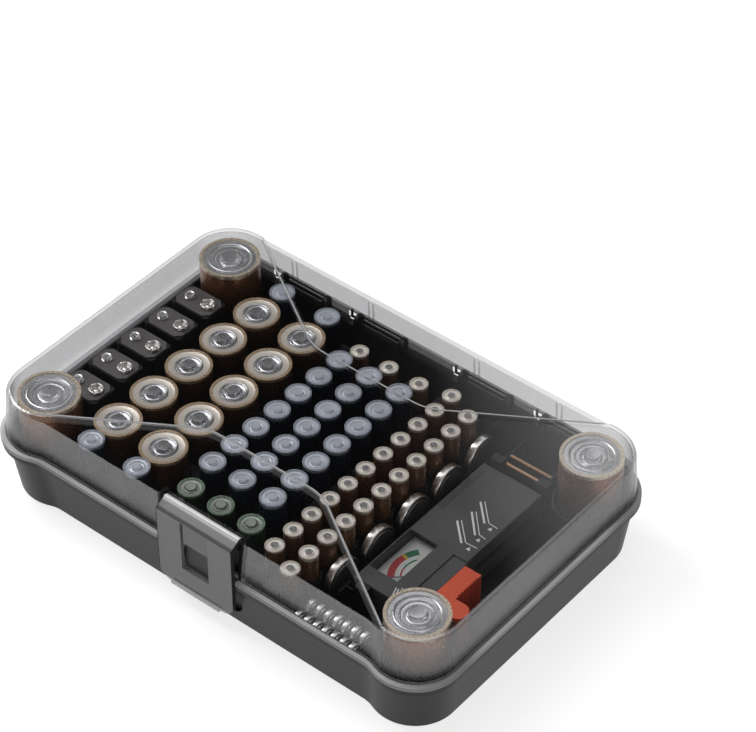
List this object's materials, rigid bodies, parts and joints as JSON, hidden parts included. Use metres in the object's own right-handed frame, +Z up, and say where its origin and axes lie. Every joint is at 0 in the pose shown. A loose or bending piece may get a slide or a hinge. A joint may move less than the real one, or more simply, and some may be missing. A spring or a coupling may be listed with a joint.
{
  "type": "battery storage case",
  "caption": "Flat storage case with scalloped cell pockets, a hinged clear lid, a front latch and a lift-out cell tester with a sliding contact and a dial.",
  "frame": {"origin": "centre of the tray's underside, on the surface the case lies on", "axes": "+Z up out of the tray, +X along the hinge line to the tester side, -Y towards the latch"},
  "size_m": [0.304, 0.2006, 0.066],
  "materials": {
    "case_plastic": "moulded satin dark grey",
    "smoky_plastic": "clear smoky grey moulding, polished",
    "latch_plastic": "translucent smoky grey moulding",
    "pin_steel": "dark bent wire",
    "tester_plastic": "moulded satin dark grey, plain white lines",
    "window_plastic": "clear window moulding",
    "dial_face": "white printed plate with coloured bands",
    "meter_body": "black moulding",
    "needle_metal": "black painted",
    "slider_plastic": "orange-red moulding",
    "board_resin": "green circuit board",
    "resistor_body": "tan lacquered body",
    "contact_metal": "nickel-plated contact strip",
    "screw_steel": "zinc plated",
    "can_metal": "bright nickel-plated cell end",
    "copper_sleeve": "copper-coloured printed sleeve, plain",
    "navy_sleeve": "dark navy sleeve, plain",
    "green_sleeve": "green sleeve, plain",
    "black_jacket": "black lacquered jacket, plain",
    "grey_top": "grey insulating plate",
    "terminal_metal": "bright snap terminals",
    "coin_metal": "bright round cells",
    "flat_cell_wrap": "copper-coloured edges"
  },
  "bodies": {
    "case": {"base_tray": "case_plastic", "hinge_pins": "pin_steel", "d_cell_cans": "can_metal", "c_cell_cans": "can_metal", "aa_cell_cans": "can_metal", "aaa_cell_cans": "can_metal", "photo_cell_cans": "can_metal", "d_cell_sleeves": "copper_sleeve", "c_cell_sleeves": "copper_sleeve", "aaa_cell_sleeves": "copper_sleeve", "aa_cell_sleeves": "navy_sleeve", "photo_cell_sleeves": "green_sleeve", "nine_volt_jackets": "black_jacket", "nine_volt_tops": "grey_top", "nine_volt_terminals": "terminal_metal", "coin_cells": "coin_metal", "button_cells": "coin_metal", "flat_cells": "flat_cell_wrap"},
    "lid": {"lid": "smoky_plastic"},
    "latch": {"latch": "latch_plastic"},
    "tester": {"tester_front": "tester_plastic", "tester_back": "tester_plastic", "tester_window": "window_plastic", "dial_plate": "dial_face", "meter_movement": "meter_body", "circuit_board": "board_resin", "load_resistors": "resistor_body", "tester_screws": "screw_steel", "arm_contact": "contact_metal", "end_contacts": "contact_metal"},
    "slider": {"tester_slider": "slider_plastic", "slider_contact": "contact_metal"},
    "needle": {"dial_needle": "needle_metal"}
  },
  "joints": [
    {"name": "lid_hinge", "type": "hinge", "parent": "case", "child": "lid", "pos_m": [0, 0.0972, 0.0396], "axis": [-1, 0, 0], "range_deg": [0, 110]},
    {"name": "latch_pivot", "type": "hinge", "parent": "lid", "child": "latch", "pos_m": [0, -0.0899, 0.0612], "axis": [-1, 0, 0], "range_deg": [0, 80]},
    {"name": "tester_lift", "type": "slide", "parent": "case", "child": "tester", "axis": [0, 0, 1], "range_m": [0, 0.03]},
    {"name": "slider_travel", "type": "slide", "parent": "tester", "child": "slider", "axis": [0, 1, 0], "range_m": [0, 0.061]},
    {"name": "needle_turn", "type": "hinge", "parent": "tester", "child": "needle", "pos_m": [0.09, -0.0203, 0.023], "axis": [0, 0, -1], "range_deg": [0, 80]}
  ]
}
